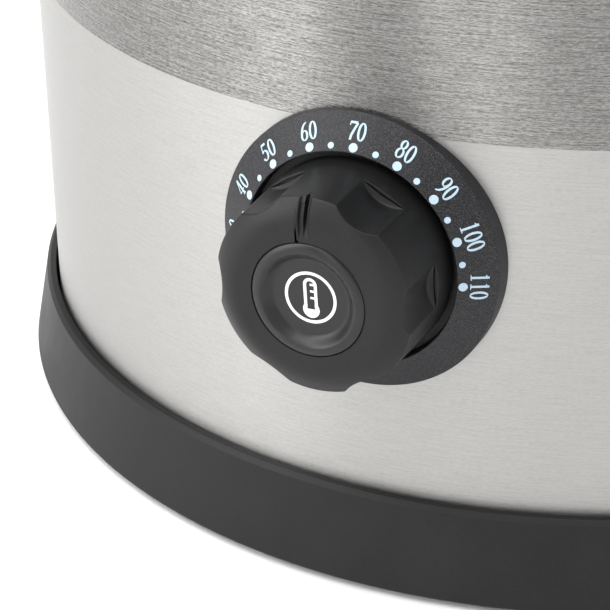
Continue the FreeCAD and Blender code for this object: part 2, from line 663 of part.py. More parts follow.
def handle(label, turn):
    """Side grip: two posts on the wall and a bar between them, cut level from thick plastic."""
    body = new_body(label, None, Rotation(Vector(0, 0, 1), turn))
    plan = new_sketch(body, "XY_Plane", d.handle_height)
    wall = math.sqrt((DIMENSIONS["shell_radius"] + 0.3) ** 2 - DIMENSIONS["handle_half"] ** 2)
    reach = d.shell_radius + d.handle_reach
    half, post, grip = d.handle_half, d.handle_post, d.handle_grip
    inner_half = half - post
    near = math.sqrt((DIMENSIONS["shell_radius"] + 0.3) ** 2 - inner_half.value ** 2)
    skin = d.shell_radius + 0.3
    outline(plan, [
        (wall, half), (near, inner_half, -skin), (reach - grip - 5.0, inner_half - 1.0),
        (reach - grip, inner_half - 6.0, -6.5), (reach - grip, -(inner_half - 6.0)),
        (reach - grip - 5.0, -(inner_half - 1.0), -6.5), (near, -inner_half),
        (wall, -half, -skin), (reach - 20.0, -half), (reach, -(half - 20.0), as_size(20.0)),
        (reach, half - 20.0), (reach - 20.0, half, as_size(20.0))])
    pad(body, plan, d.handle_tall, symmetric=True)
    bolts = new_sketch(body, "YZ_Plane", as_size(150.0))
    for side in (-1.0, 1.0):
        circle(bolts, (d.handle_half - 8.0) * side, d.handle_height, as_size(2.2))
    pocket(body, bolts, d.shell_radius - 150.0 + 14.0, reverse=True)
    level = d.handle_height.value
    tall = d.handle_tall.value / 2

    def rim(edge):
        low, high = edge.BoundBox.ZMin - level, edge.BoundBox.ZMax - level
        flat = abs(low - high) < 0.01 and abs(abs(low) - tall) < 0.01
        return flat and edge.BoundBox.XMin > d.shell_radius.value + 2.0
    round_edges(body, 4.0, rim)


def handle_screws():
    offset = DIMENSIONS["handle_half"] - 8.0
    inside = math.sqrt(shell_inside.value ** 2 - (offset + 4.0) ** 2) - 0.2
    places = []
    for turn in (0, 180):
        for side in (-1, 1):
            spin = Rotation(Vector(0, 0, 1), turn)
            seat = spin.multVec(Vector(inside, side * offset, DIMENSIONS["handle_height"]))
            places.append(Placement(seat, spin.multiply(Rotation(Vector(0, 1, 0), -90))))
    screws("handle_screws", places, 4.0, 2.4, 2.1, 18.0)


def lid():
    body = new_body("lid")
    flange = d.rim_height + d.lid_gap
    inner = shell_inside - 1.6
    dome = 620.0
    revolve(body, [
        (4.0, flange + d.lid_dome), (inner - 3.0, flange + 3.0, as_size(-dome)),
        (inner - 3.0, flange), (inner - 0.8, flange - 3.0),
        (inner - 0.8, flange - d.lid_drop), (inner, flange - d.lid_drop), (inner, flange),
        (d.lid_radius, flange), (d.lid_radius, flange + d.sheet * 2.0),
        (inner, flange + d.sheet * 2.0), (inner - 1.6, flange + 4.2),
        (4.0, flange + d.lid_dome + d.sheet, as_size(dome))])

    top = flange + d.lid_dome + d.sheet
    washer = new_body("lid_knob_washer")
    revolve(washer, [(4.0, top + 0.05), (d.lid_knob_radius - 4.0, top + 0.05),
                     (d.lid_knob_radius - 4.0, top + 2.0), (4.0, top + 2.0)])
    knob_body = new_body("lid_knob")
    low = top + 2.0
    revolve(knob_body, [
        (2.2, low), (d.lid_knob_radius - 10.0, low),
        (d.lid_knob_radius - 12.0, low + 9.0, as_size(-14.0)),
        (d.lid_knob_radius, low + 20.0, as_size(-18.0)),
        (d.lid_knob_radius - 3.0, low + 27.0, as_size(6.0)),
        (3.0, low + d.lid_knob_height - 3.0, as_size(60.0)), (0.0, low + d.lid_knob_height - 3.0),
        (0.0, low + 16.0), (2.2, low + 16.0)])
    place = Placement(Vector(0, 0, (flange + d.lid_dome).value - 1.0), Rotation(Vector(1, 0, 0), 180))
    screws("lid_screw", [place], 7.0, 2.4, 2.1, 17.0)


def rack():
    """Pierced plate that keeps jars off the pot floor, standing on its turned-down rim."""
    body = new_body("jar_rack")
    low = d.pot_floor + d.sheet + 0.3
    high = low + d.rack_height
    revolve(body, [
        (12.0, high - d.rack_sheet), (d.rack_radius - 5.0, high - d.rack_sheet),
        (d.rack_radius - d.rack_sheet, high - 5.0, d.rack_sheet - 5.0),
        (d.rack_radius - d.rack_sheet, low), (d.rack_radius, low),
        (d.rack_radius, high - 5.0), (d.rack_radius - 5.0, high, as_size(5.0)), (12.0, high)])
    holes = new_sketch(body, "XY_Plane", high - d.rack_sheet)
    for ring_radius, count in ((38.0, 6), (72.0, 12), (106.0, 18), (138.0, 24)):
        ring_of_circles(holes, as_size(ring_radius), as_size(9.0), count, 15.0)
    pocket(body, holes, 4.0, reverse=True)
    for role in ("XZ_Plane", "YZ_Plane"):
        gaps = new_sketch(body, role)
        rectangle(gaps, -34.0, 34.0, low - 1.0, high - 7.0)
        pocket(body, gaps, 400.0, symmetric=True)


for build in (base_ring, base_plate, feet, base_fasteners, lower_shell, pot, heater,
              temperature_sensing, thermostat, dial_ring, knob, cord_entry, wiring):
    build()
handle("handle_right", 0)
handle("handle_left", 180)
handle_screws()
lid()
rack()
doc.recompute()

for obj in doc.Objects:
    if "Invalid" in obj.State or "Error" in obj.State:
        raise SystemExit(f"{obj.Label} failed: {obj.State}")
os.makedirs("parts", exist_ok=True)
for subpart in SUBPARTS:
    shape = subpart.Shape
    if shape.isNull() or not shape.isValid() or not shape.Solids:
        raise SystemExit(f"{subpart.Label} has no valid solid")
    shape.exportStep(f"parts/{subpart.Label}.step")
    print(f"{subpart.Label}: {len(shape.Solids)} solid(s), {shape.Volume:.0f} mm3")
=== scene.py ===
"""Looks of the electric preserving cooker: brushed steel body, black base, scale ring and knob."""
import math

import bpy
from mathutils import Matrix, Vector


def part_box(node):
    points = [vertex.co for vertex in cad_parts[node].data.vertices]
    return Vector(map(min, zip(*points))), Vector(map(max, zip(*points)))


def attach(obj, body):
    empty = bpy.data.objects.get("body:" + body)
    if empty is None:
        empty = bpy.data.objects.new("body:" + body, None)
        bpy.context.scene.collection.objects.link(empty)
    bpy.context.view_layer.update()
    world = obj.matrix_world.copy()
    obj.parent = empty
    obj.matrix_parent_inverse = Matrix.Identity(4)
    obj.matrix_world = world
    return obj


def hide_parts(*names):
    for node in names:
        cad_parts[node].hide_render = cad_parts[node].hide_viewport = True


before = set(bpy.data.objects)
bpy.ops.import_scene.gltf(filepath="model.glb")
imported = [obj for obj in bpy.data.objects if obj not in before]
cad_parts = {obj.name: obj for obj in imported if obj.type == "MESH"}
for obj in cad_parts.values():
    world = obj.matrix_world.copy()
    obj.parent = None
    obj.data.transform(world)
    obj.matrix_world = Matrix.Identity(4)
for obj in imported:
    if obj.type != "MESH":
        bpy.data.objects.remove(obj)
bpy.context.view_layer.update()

MM = 0.001
TAU = 2.0 * math.pi


# ---------------------------------------------------------------- sizes read from the frame

def low(node):
    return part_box(node)[0] / MM


def high(node):
    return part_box(node)[1] / MM


SHELL_RADIUS = high("lower_shell").x
SHEET = 0.8
SEAM = high("lower_shell").z + 0.2
RIM = high("pot").z
POT_FLOOR = low("pot").z
BASE_LOW_RADIUS = high("base_ring").x
BASE_TOP = high("base_ring").z
BASE_BOTTOM = low("base_ring").z
DIAL_RADIUS = high("dial_ring").x
DIAL_HEIGHT = (low("dial_ring").z + high("dial_ring").z) / 2
DIAL_PLANE = SHELL_RADIUS + 1.8
DIAL_INNER = 30.5
DIAL_RISE = 6.0
BASE_INNER = 164.0
POINTER = math.radians(-2.6)


# ---------------------------------------------------------------- mesh helpers

def new_piece(name, verts, faces, uvs=None, sharp=math.radians(32)):
    """A smooth-shaded mesh from points in millimetres. uvs holds one (u, v) in metres per corner."""
    mesh = bpy.data.meshes.new(name)
    mesh.from_pydata([(x * MM, y * MM, z * MM) for x, y, z in verts], [], faces)
    if uvs:
        layer = mesh.uv_layers.new(name="surface")
        flat = [value for face in uvs for corner in face for value in corner]
        layer.data.foreach_set("uv", flat)
    mesh.validate()
    mesh.shade_smooth()
    mesh.set_sharp_from_angle(angle=sharp)
    piece = bpy.data.objects.new(name, mesh)
    bpy.context.scene.collection.objects.link(piece)
    return piece


def arc(cx, cy, rx, ry, start, stop, steps=18):
    """Points along an arc of an ellipse, angles in degrees."""
    angles = [math.radians(start + (stop - start) * i / steps) for i in range(steps + 1)]
    return [(cx + rx * math.cos(a), cy + ry * math.sin(a)) for a in angles]


def rounded(corners, steps=5):
    """An open outline whose corners (x, y, radius) are rounded, with a support point beside each."""
    points = []
    for i, corner in enumerate(corners):
        if len(corner) == 2 or i in (0, len(corners) - 1):
            points.append(Vector(corner[:2]))
            continue
        here, radius = Vector(corner[:2]), corner[2]
        into = (Vector(corners[i - 1][:2]) - here).normalized()
        out = (Vector(corners[i + 1][:2]) - here).normalized()
        half = into.angle(out) / 2
        reach = radius / math.tan(half)
        a, b = here + into * reach, here + out * reach
        centre = here + (into + out).normalized() * (radius / math.sin(half))
        points.append(a + into * radius * 0.25)
        for step in range(steps + 1):
            toward = (a - centre).slerp(b - centre, step / steps).normalized()
            points.append(centre + toward * radius)
        points.append(b + out * radius * 0.25)
    return [(p.x, p.y) for p in points]


def lathe(name, profile, segments, closed=False, bend=None):
    """Turn an outline of (radius, height) about Z. bend(x, y, z) may move the points afterwards."""
    rings, verts = [], []
    for radius, height in profile:
        if radius < 1e-6:
            rings.append([len(verts)])
            verts.append((0.0, 0.0, height))
            continue
        rings.append(list(range(len(verts), len(verts) + segments)))
        for k in range(segments):
            angle = TAU * k / segments + math.pi / 2
            verts.append((radius * math.cos(angle), radius * math.sin(angle), height))
    if bend:
        verts = [bend(*v) for v in verts]
    lengths = [0.0]
    for (r0, z0), (r1, z1) in zip(profile, profile[1:]):
        lengths.append(lengths[-1] + math.hypot(r1 - r0, z1 - z0))
    faces, uvs = [], []
    pairs = list(zip(range(len(rings)), range(1, len(rings))))
    if closed:
        pairs.append((len(rings) - 1, 0))
    for a, b in pairs:
        top = lengths[b] if b else lengths[-1] + 1.0
        around = max(profile[a][0], profile[b][0]) * TAU / segments * MM
        for k in range(segments):
            k1 = (k + 1) % segments
            left, right = k * around, (k + 1) * around
            face = [rings[a][k % len(rings[a])], rings[a][k1 % len(rings[a])],
                    rings[b][k1 % len(rings[b])], rings[b][k % len(rings[b])]]
            uv = [(left, lengths[a] * MM), (right, lengths[a] * MM), (right, top * MM), (left, top * MM)]
            keep = [i for i in range(4) if face[i] not in face[:i]]
            if len(keep) < 3:
                continue
            faces.append([face[i] for i in keep])
            uvs.append([uv[i] for i in keep])
    return new_piece(name, verts, faces, uvs)


def to_dial(piece):
    """Turn a piece drawn about Z so that its +Z looks out of the front, on the dial's axis."""
    piece.data.transform(Matrix.Translation((0, 0, DIAL_HEIGHT * MM)) @ Matrix.Rotation(math.pi / 2, 4, "X"))
    return piece


def finish_piece(piece, body, slot, material, *replaced):
    piece.data.materials.clear()
    piece.data.materials.append(material)
    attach(piece, body)
    if replaced:
        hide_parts(*replaced)
    return piece


# ---------------------------------------------------------------- materials

class Finish:
    """A Principled material with short ways to add its nodes."""

    def __init__(self, name, **values):
        self.material = bpy.data.materials.new(name)
        self.material.use_nodes = True
        self.tree = self.material.node_tree
        self.shader = self.tree.nodes["Principled BSDF"]
        for socket, value in values.items():
            self.shader.inputs[socket.replace("_", " ")].default_value = value

    def add(self, kind, **inputs):
        node = self.tree.nodes.new(kind)
        for socket, value in inputs.items():
            node.inputs[socket.replace("_", " ")].default_value = value
        return node

    def link(self, out, into):
        self.tree.links.new(out, into)

    def coordinates(self, source, scale):
        where = self.add("ShaderNodeTexCoord")
        mapping = self.add("ShaderNodeMapping")
        mapping.inputs["Scale"].default_value = scale
        self.link(where.outputs[source], mapping.inputs["Vector"])
        return mapping.outputs["Vector"]

    def noise(self, source, scale, detail=2.0, roughness=0.5, distortion=0.0):
        texture = self.add("ShaderNodeTexNoise", Scale=1.0, Detail=detail, Roughness=roughness,
                           Distortion=distortion)
        self.link(self.coordinates(source, scale), texture.inputs["Vector"])
        return texture.outputs["Fac"]

    def remap(self, value, low_in, high_in, low_out, high_out):
        node = self.add("ShaderNodeMapRange")
        for index, number in enumerate((low_in, high_in, low_out, high_out), start=1):
            node.inputs[index].default_value = number
        self.link(value, node.inputs[0])
        return node.outputs["Result"]

    def combine(self, operation, a, b):
        node = self.add("ShaderNodeMath")
        node.operation = operation
        for index, value in enumerate((a, b)):
            if isinstance(value, float):
                node.inputs[index].default_value = value
            else:
                self.link(value, node.inputs[index])
        return node.outputs[0]

    def tint(self, value, dark, light):
        """Base colour between two colours, along a 0 to 1 value."""
        ramp = self.add("ShaderNodeValToRGB")
        ramp.color_ramp.elements[0].color = (*dark, 1.0)
        ramp.color_ramp.elements[1].color = (*light, 1.0)
        self.link(value, ramp.inputs["Fac"])
        self.link(ramp.outputs["Color"], self.shader.inputs["Base Color"])

    def rough(self, value, low_out, high_out, low_in=0.3, high_in=0.7):
        self.link(self.remap(value, low_in, high_in, low_out, high_out), self.shader.inputs["Roughness"])

    def bump(self, value, strength, distance):
        node = self.add("ShaderNodeBump", Strength=strength, Distance=distance)
        self.link(value, node.inputs["Height"])
        self.link(node.outputs["Normal"], self.shader.inputs["Normal"])


SMEARS = 0.15                           # share of the slow smears in a brushed face
PAINTED_SHEEN = 0.0096                           # painted sheen: how much paler a moulding is painted where its grain and patches rise


def brushed_steel(name, dark, light, roughness, across="UV", anisotropic=1.0, depth=0.00004):
    """Steel brushed round the body: long fine streaks, a few deeper scratches, faint smears."""
    steel = Finish(name, Metallic=1.0, Anisotropic=anisotropic, Anisotropic_Rotation=0.25)
    tangent = steel.add("ShaderNodeTangent")
    tangent.direction_type = "RADIAL"
    tangent.axis = "Z"
    steel.link(tangent.outputs["Tangent"], steel.shader.inputs["Tangent"])
    fine = steel.noise(across, (640.0, 3400.0, 1.0), 2.0, 0.7)
    broad = steel.noise(across, (90.0, 1900.0, 1.0), 2.0, 0.6)
    smear = steel.noise(across, (9.0, 3.0, 1.0), 2.0, 0.5)
    grain = steel.combine("ADD", steel.combine("MULTIPLY", fine, 0.6), steel.combine("MULTIPLY", broad, 0.4))
    shade = steel.combine("ADD", steel.combine("MULTIPLY", grain, 1.0 - SMEARS),
                          steel.combine("MULTIPLY", smear, SMEARS))
    steel.tint(steel.remap(shade, 0.36, 0.64, 0.0, 1.0), dark, light)
    steel.rough(grain, roughness - 0.03, roughness + 0.03, 0.35, 0.65)
    steel.bump(grain, 0.2, depth)
    return steel.material


def moulded(name, colour, roughness, grain_size, strength, depth, ior=1.48):
    """Black moulding with a spark-eroded grain, slow gloss changes and a little painted sheen, paler grey
    where grain and patches rise.
    """
    plastic = Finish(name, IOR=ior)
    grain = plastic.noise("Object", (1 / grain_size,) * 3, 2.0, 0.6)
    patch = plastic.noise("Object", (38.0, 38.0, 38.0), 3.0, 0.6)
    # painted sheen: the paler colour that the grain and patches blend toward
    lighter = tuple(c + PAINTED_SHEEN for c in colour)
    mixed = plastic.combine("ADD", plastic.combine("MULTIPLY", grain, 0.6),
                            plastic.combine("MULTIPLY", patch, 0.4))
    plastic.tint(plastic.remap(mixed, 0.35, 0.7, 0.0, 1.0), colour, lighter)
    plastic.rough(patch, roughness - 0.05, roughness + 0.06)
    plastic.bump(grain, strength, depth)
    return plastic.material


def sparked(name, dark, light, roughness):
    """Black moulding with a coarse spark-eroded face: pits and light specks that the eye can count."""
    plastic = Finish(name, IOR=1.42)
    specks = plastic.noise("Object", (3000.0, 3000.0, 3000.0), 1.0, 0.5)
    plastic.tint(plastic.remap(specks, 0.48, 0.66, 0.0, 1.0), dark, light)
    plastic.rough(specks, roughness - 0.06, roughness + 0.08)
    plastic.bump(specks, 0.6, 0.00012)
    return plastic.material


def plated(name, dark, light, roughness):
    """Zinc, brass, copper or aluminium: mottled colour and roughness, faint rolling marks."""
    metal = Finish(name, Metallic=1.0)
    spangle = metal.noise("Object", (420.0, 420.0, 420.0), 3.0, 0.6, 0.4)
    rolled = metal.noise("Object", (60.0, 2600.0, 60.0), 2.0, 0.5)
    metal.tint(metal.remap(spangle, 0.35, 0.65, 0.0, 1.0), dark, light)
    metal.rough(spangle, roughness - 0.06, roughness + 0.08)
    metal.bump(rolled, 0.12, 0.00005)
    return metal.material


def printed(name, colour):
    """Pad-printed ink: slightly uneven cover and gloss."""
    ink = Finish(name)
    cover = ink.noise("Object", (2600.0, 2600.0, 2600.0), 2.0, 0.6)
    dim = tuple(c * 0.8 for c in colour)
    ink.tint(ink.remap(cover, 0.32, 0.5, 0.0, 1.0), dim, colour)
    ink.rough(cover, 0.4, 0.55)
    ink.bump(cover, 0.2, 0.00002)
    return ink.material


# One brushed steel in two colours. The pot's colour is painted darker (painted shade) and the lower shell's
# paler (painted light from the bright floor). The lower shell's higher roughness and weaker anisotropy are
# its own finish.
UPPER_STEEL_SHADED = brushed_steel("shell_steel_upper_painted_shade", (0.075, 0.073, 0.070), (0.37, 0.365, 0.355), 0.27,
                            depth=0.00012)
LOWER_STEEL_LIT = brushed_steel("shell_steel_lower_painted_light", (0.35, 0.345, 0.335), (0.44, 0.435, 0.425), 0.43,
                            anisotropic=0.6)
LID_STEEL = brushed_steel("lid_steel_spun", (0.58, 0.58, 0.57), (0.76, 0.76, 0.75), 0.22)
RACK_STEEL = brushed_steel("rack_steel_dull", (0.5, 0.5, 0.49), (0.66, 0.66, 0.65), 0.38, "Object", 0.3)
BASE_BLACK = moulded("base_black", (0.004, 0.004, 0.0043), 0.5, 0.00035, 0.35, 0.00005, ior=1.33)
DIAL_BLACK = sparked("dial_black", (0.0015, 0.0015, 0.0022), (0.036, 0.036, 0.042), 0.48)
KNOB_BLACK = moulded("knob_black", (0.0045, 0.0045, 0.0045), 0.4, 0.00035, 0.5, 0.00006, ior=1.34)
CAP_BLACK = moulded("cap_black", (0.006, 0.006, 0.0063), 0.34, 0.00035, 0.5, 0.00006, ior=1.43)
HANDLE_BLACK = moulded("handle_black", (0.012, 0.012, 0.012), 0.3, 0.0006, 0.2, 0.00003)
RUBBER = moulded("rubber_black", (0.02, 0.02, 0.02), 0.75, 0.0004, 0.5, 0.0001)
GLAND_BLACK = moulded("gland_black", (0.02, 0.02, 0.02), 0.5, 0.0004, 0.3, 0.00005)
INK_BLUE = printed("ink_pale_blue", (0.44, 0.57, 0.68))
INK_WHITE = printed("ink_off_white", (0.80, 0.80, 0.82))
ZINC = plated("zinc_plate", (0.42, 0.43, 0.44), (0.6, 0.61, 0.62), 0.36)
BRIGHT = plated("bright_zinc", (0.5, 0.5, 0.49), (0.7, 0.7, 0.68), 0.24)
ALUMINIUM = plated("rolled_aluminium", (0.6, 0.61, 0.62), (0.8, 0.81, 0.82), 0.34)
DARK_STEEL = plated("heat_dark_steel", (0.12, 0.10, 0.09), (0.32, 0.30, 0.28), 0.45)
BRASS = plated("plain_brass", (0.6, 0.42, 0.16), (0.82, 0.64, 0.32), 0.3)
COPPER = plated("drawn_copper", (0.55, 0.26, 0.15), (0.82, 0.45, 0.3), 0.3)
BROWN_RESIN = moulded("brown_resin", (0.08, 0.045, 0.03), 0.5, 0.0006, 0.3, 0.00005)
CREAM = moulded("cream_block", (0.62, 0.58, 0.48), 0.55, 0.0006, 0.3, 0.00005)
WIRE_BROWN = moulded("wire_brown", (0.16, 0.06, 0.03), 0.45, 0.0008, 0.2, 0.00003)
WIRE_BLUE = moulded("wire_blue", (0.03, 0.10, 0.42), 0.45, 0.0008, 0.2, 0.00003)
WIRE_GREEN = moulded("wire_green", (0.14, 0.40, 0.06), 0.45, 0.0008, 0.2, 0.00003)

CAD_FINISHES = {
    "jar_rack": RACK_STEEL, "base_plate": ZINC, "thermostat_bracket": ZINC, "heat_shield": ALUMINIUM,
    "heat_spreader": ALUMINIUM, "heating_element": DARK_STEEL, "element_pins": BRASS,
    "thermostat_terminals": BRASS, "sensor_bulb": COPPER, "capillary_tube": COPPER,
    "thermostat_body": BROWN_RESIN, "thermal_cutout": BROWN_RESIN, "terminal_block": CREAM,
    "wire_live": WIRE_BROWN, "wire_switched": WIRE_BROWN, "wire_link": WIRE_BROWN,
    "wire_neutral": WIRE_BLUE, "wire_earth": WIRE_GREEN, "rubber_feet": RUBBER,
    "lid_knob_washer": RUBBER, "cord_gland": GLAND_BLACK, "gland_locknut": GLAND_BLACK,
}
for fixing in ("base_screws", "rod_washer", "rod_nut", "tie_rod", "shield_nut", "handle_screws",
               "lid_screw", "thermostat_screws", "block_screws", "earth_screw", "thermostat_shaft",
               "knob_clip", "bulb_clips"):
    CAD_FINISHES[fixing] = BRIGHT


def dress_cad_nodes():
    for node, finish in CAD_FINISHES.items():
        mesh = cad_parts[node].data
        mesh.materials.clear()
        mesh.materials.append(finish)


# ---------------------------------------------------------------- body

WALL_STATIONS = (180.0, 240.0, 300.0, 360.0)


def pot():
    """Upper vessel: a floor, a neck inside the skirt, the wall and a rolled rim."""
    wall, neck = SHELL_RADIUS, SHELL_RADIUS - 1.0
    inside, bead = SHELL_RADIUS - SHEET, 3.2
    bead_centre = inside + bead
    outer = rounded([(0.0, POT_FLOOR), (60.0, POT_FLOOR), (neck, POT_FLOOR, 9.0), (neck, SEAM - 0.16),
                     (wall, SEAM - 0.16), (wall, SEAM + 0.4), *[(wall, z) for z in WALL_STATIONS],
                     (wall, RIM - 2 * bead - 1.0)])
    lip = arc(bead_centre, RIM - bead, bead, bead, 235, 0, 14)[:-1]
    lip += arc(bead_centre, RIM - bead, bead, bead, 0, 180, 12)
    inner = rounded([(inside, RIM - bead - 3.0), *[(inside, z) for z in reversed(WALL_STATIONS)],
                     (inside, SEAM + 1.6, 2.0), (neck - SHEET, SEAM - 0.6, 2.0),
                     (neck - SHEET, POT_FLOOR + SHEET, 8.2), (110.0, POT_FLOOR + SHEET),
                     (40.0, POT_FLOOR + SHEET), (0.0, POT_FLOOR + SHEET)])
    piece = lathe("pot_skin", outer + lip + inner, 360)
    # steel painted darker than the lower shell: painted shade
    finish_piece(piece, "body", "shell_steel", UPPER_STEEL_SHADED, "pot")


def lower_shell():
    wall, inside = SHELL_RADIUS, SHELL_RADIUS - SHEET
    foot, top = low("lower_shell").z, high("lower_shell").z
    profile = rounded([(inside, foot), (wall, foot, 0.15), (wall, 60.0), (wall, 100.0),
                       (wall, top - 0.4), (wall, top), (inside, top), (inside, 60.0), (inside, foot)])
    piece = lathe("lower_shell_skin", profile[:-1], 360, closed=True)
    # steel painted paler than the pot: painted light from the floor
    finish_piece(piece, "body", "shell_steel", LOWER_STEEL_LIT, "lower_shell")


def base_ring():
    top_radius = SHELL_RADIUS + 3.9
    ledge = low("lower_shell").z
    profile = rounded([
        (BASE_LOW_RADIUS - 3.0, BASE_BOTTOM), (BASE_LOW_RADIUS, BASE_BOTTOM, 1.0),
        (top_radius + 0.15, BASE_TOP - 1.5, 0.6), (top_radius - 1.1, BASE_TOP, 0.6),
        (SHELL_RADIUS + 0.9, BASE_TOP, 0.3), (SHELL_RADIUS + 0.9, ledge, 0.3), (BASE_INNER, ledge, 0.4),
        (BASE_INNER, ledge - 3.0, 0.4), (BASE_LOW_RADIUS - 4.8, ledge - 3.0, 0.5),
        (BASE_LOW_RADIUS - 3.0, BASE_BOTTOM)])
    piece = lathe("base_ring_skin", profile[:-1], 360, closed=True)
    finish_piece(piece, "body", "base_plastic", BASE_BLACK, "base_ring")


# ---------------------------------------------------------------- dial

CONE = math.atan2(DIAL_RISE, DIAL_RADIUS - DIAL_INNER)


def on_cone(rho, lift=0.0):
    """Distance of the scale's cone from the pot's axis at a radius rho on the dial."""
    return DIAL_PLANE + (DIAL_RADIUS - rho) * math.tan(CONE) + lift


def dial_ring():
    """The scale's cone with a flat well for the knob, its back bent to lie on the round shell."""
    well = DIAL_PLANE + 1.2
    behind = SHELL_RADIUS + 0.1
    back, bore = 160.0, 6.0
    profile = rounded([
        (bore, back), (DIAL_RADIUS, back), (DIAL_RADIUS, DIAL_PLANE - 0.05, 0.35),
        (DIAL_INNER, on_cone(DIAL_INNER) - 0.05, 0.3),
        (DIAL_INNER, well, 0.6), (bore, well, 0.2), (bore, back)])

    def seat(x, y, z):
        return (x, y, max(z, math.sqrt(behind ** 2 - x ** 2))) if z < back + 1.0 else (x, y, z)
    piece = to_dial(lathe("dial_ring_skin", profile[:-1], 360, closed=True, bend=seat))
    finish_piece(piece, "body", "dial_plastic", DIAL_BLACK, "dial_ring")


# Each glyph is a list of (path, width rule). Rule 0 is a pen that is thick on upright strokes and
# thin on level ones; any other rule is a fixed width in millimetres.
GLYPHS = {
    "0": [(arc(0.5, 0.5, 0.38, 0.46, 0, 360, 36), 0)],
    "1": [([(0.5, 0.0), (0.5, 1.0)], 0), ([(0.5, 0.98), (0.36, 0.86), (0.2, 0.82)], 0.3),
          ([(0.16, 0.02), (0.84, 0.02)], 0.26)],
    "3": [(arc(0.44, 0.74, 0.34, 0.22, 150, -90), 0),
          (arc(0.44, 0.27, 0.40, 0.245, 90, -155), 0)],
    "4": [([(0.66, 0.0), (0.66, 1.0)], 0), ([(0.62, 0.98), (0.06, 0.3)], 0.28),
          ([(0.04, 0.28), (1.0, 0.28)], 0.3), ([(0.42, 0.02), (0.9, 0.02)], 0.24)],
    "5": [([(0.2, 0.94), (0.84, 0.94)], 0.62), ([(0.2, 0.96), (0.15, 0.5)], 0.28),
          (arc(0.44, 0.32, 0.40, 0.28, 140, -155), 0)],
    "6": [(arc(0.5, 0.29, 0.36, 0.26, 0, 360, 30), 0),
          (arc(0.86, 0.36, 0.72, 0.62, 96, 180), 0)],
    "7": [([(0.08, 0.94), (0.94, 0.94)], 0.62),
          ([(0.94, 0.92), (0.66, 0.56), (0.46, 0.26), (0.42, 0.0)], 0.62),
          ([(0.08, 0.97), (0.08, 0.76)], 0.24)],
    "8": [(arc(0.5, 0.755, 0.30, 0.215, 0, 360, 30), 0),
          (arc(0.5, 0.275, 0.37, 0.25, 0, 360, 30), 0)],
}
GLYPHS["9"] = [([(1.0 - x, 1.0 - y) for x, y in path], rule) for path, rule in GLYPHS["6"]]
GLYPH_TALL = 4.95
GLYPH_WIDE = 2.3
GLYPH_STEP = 2.6
THICK, THIN = 0.62, 0.3
INK = 0.05                              # thickness of the printed film
INK_GAP = 0.015                         # clearance under it


class InkSheet:
    """Flat ink shapes gathered in one mesh: each stroke is a thin closed strip."""

    def __init__(self, place):
        self.place = place            # (x, y, lift) to a point of the dial's own frame
        self.verts, self.faces = [], []

    def stroke(self, path, widths):
        start, last = len(self.verts), len(path) - 1
        for i, (x, y) in enumerate(path):
            ahead, behind = path[min(i + 1, last)], path[max(i - 1, 0)]
            dx, dy = ahead[0] - behind[0], ahead[1] - behind[1]
            length = math.hypot(dx, dy)
            nx, ny = -dy / length * widths[i] / 2, dx / length * widths[i] / 2
            for side, lift in ((1, INK), (-1, INK), (-1, 0.0), (1, 0.0)):
                self.verts.append(self.place(x + side * nx, y + side * ny, lift))
        for i in range(last):
            a, b = start + 4 * i, start + 4 * (i + 1)
            for j in range(4):
                k = (j + 1) % 4
                self.faces.append([a + j, a + k, b + k, b + j])
        self.faces.append([start + 3, start + 2, start + 1, start])
        end = start + 4 * last
        self.faces.append([end, end + 1, end + 2, end + 3])

    def patch(self, outline):
        """A filled shape from its outline, which runs anticlockwise."""
        start, corners = len(self.verts), len(outline)
        for lift in (INK, 0.0):
            self.verts += [self.place(x, y, lift) for x, y in outline]
        self.faces.append(list(range(start, start + corners)))
        self.faces.append(list(range(start + 2 * corners - 1, start + corners - 1, -1)))
        for i in range(corners):
            k = (i + 1) % corners
            self.faces.append([start + i, start + corners + i, start + corners + k, start + k])

    def disc(self, cx, cy, radius, corners=28):
        """A filled circle in rings, so that it follows a curved face."""
        start = len(self.verts)
        rings = [(radius, 0.0), (radius, INK), (radius * 0.66, INK), (radius * 0.33, INK)]
        for ring, lift in rings:
            circle = arc(cx, cy, ring, ring, 0, 360, corners)[:-1]
            self.verts += [self.place(x, y, lift) for x, y in circle]
        last = start + (len(rings) - 1) * corners
        for a in range(start, last, corners):
            for i in range(corners):
                k = (i + 1) % corners
                self.faces.append([a + i, a + k, a + corners + k, a + corners + i])
        self.verts.append(self.place(cx, cy, INK))
        self.faces += [[last + i, last + (i + 1) % corners, len(self.verts) - 1] for i in range(corners)]
        self.faces.append(list(range(start + corners - 1, start - 1, -1)))

    def piece(self, name, body, material, slot):
        made = to_dial(new_piece(name, self.verts, self.faces, sharp=0.6))
        finish_piece(made, body, slot, material)


DEGREES_PER_MARK = 11.38 / 5.0          # dial degrees for each degree on the scale
MARK_70 = 1.9                           # where 70 stands, clockwise from straight up
DOT_CIRCLE = 32.1
LARGE_DOT, SMALL_DOT = 1.22, 0.86
NUMBER_CIRCLE = 35.8


def mark_angle(value):
    return math.radians(MARK_70 + (value - 70) * DEGREES_PER_MARK)


def cone_place(angle, circle):
    """Maps a flat drawing, upright along the radius, onto the cone at a dial angle."""
    def place(x, y, lift):
        rho = circle + y * math.cos(CONE)
        turn = angle + x / rho
        out = rho + lift * math.sin(CONE)
        return (out * math.sin(turn), out * math.cos(turn), on_cone(rho, INK_GAP + lift * math.cos(CONE)))
    return place


def pen_widths(path):
    """Stroke width at each point: THICK where the stroke runs upright, THIN where it runs level."""
    widths, last = [], len(path) - 1
    for i in range(len(path)):
        ahead, behind = path[min(i + 1, last)], path[max(i - 1, 0)]
        dx = (ahead[0] - behind[0]) * GLYPH_WIDE
        dy = (ahead[1] - behind[1]) * GLYPH_TALL
        widths.append(THIN + (THICK - THIN) * (abs(dy) / math.hypot(dx, dy)) ** 2)
    return widths


